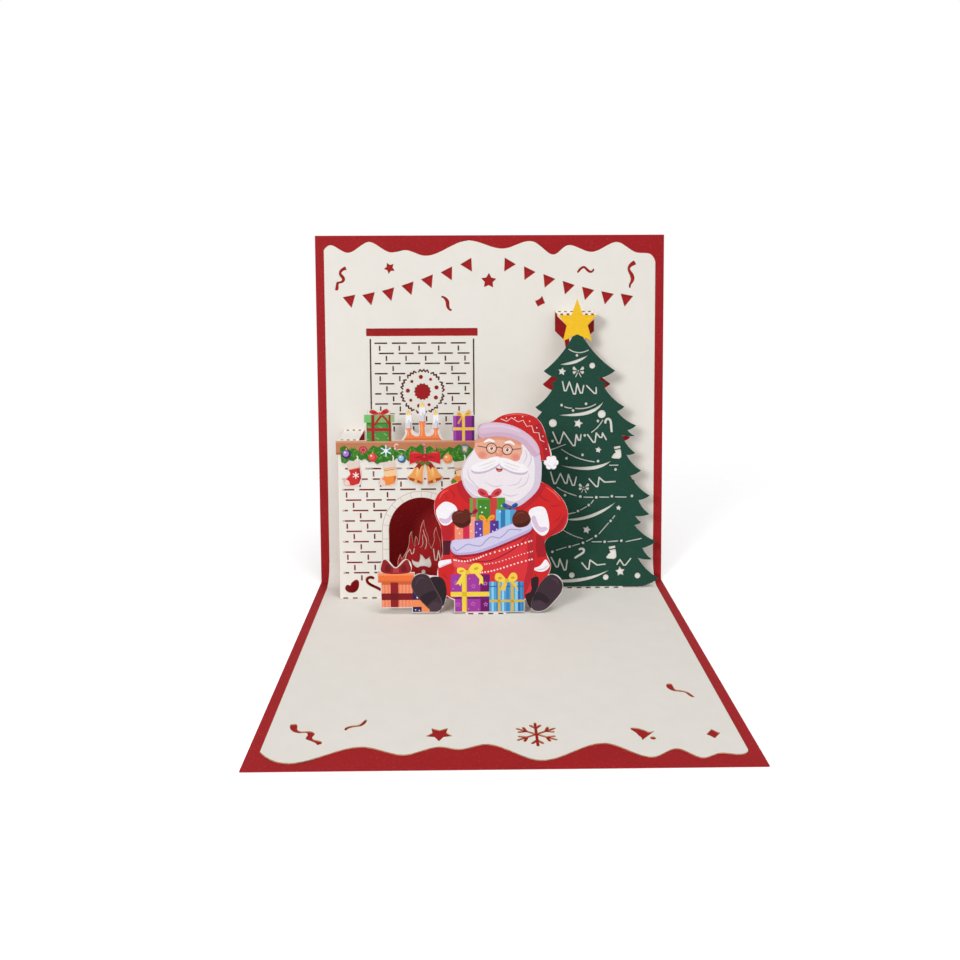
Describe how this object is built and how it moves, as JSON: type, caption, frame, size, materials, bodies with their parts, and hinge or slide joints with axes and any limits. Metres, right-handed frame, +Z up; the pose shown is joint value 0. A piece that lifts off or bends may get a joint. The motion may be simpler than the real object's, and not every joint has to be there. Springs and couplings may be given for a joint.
{
  "type": "pop up card",
  "caption": "Square pop-up greeting card standing open, with a hearth, a decorated tree and a seated figure with presents on folded steps.",
  "frame": {"origin": "middle of the underside of the panel that lies on the table", "axes": "+X to the right seen from the front, +Y towards the fold and the standing panel, +Z up"},
  "size_m": [0.15, 0.1764, 0.1481],
  "materials": {
    "cover_card": "pearlescent red card with a fine grain",
    "liner_card": "cream card, matt, with browned cut edges",
    "printed_card": "satin print on white card",
    "red_card": "matt red card",
    "green_card": "matt dark green card",
    "yellow_card": "matt yellow card"
  },
  "bodies": {
    "root": {"cover": "cover_card", "liner": "liner_card", "hearth_step": "liner_card", "fire_step": "liner_card", "tree_step": "liner_card", "figure_step": "liner_card", "hearth_print": "printed_card", "flames": "red_card", "tree": "green_card", "tree_star": "yellow_card", "figure_print": "printed_card"}
  },
  "joints": []
}
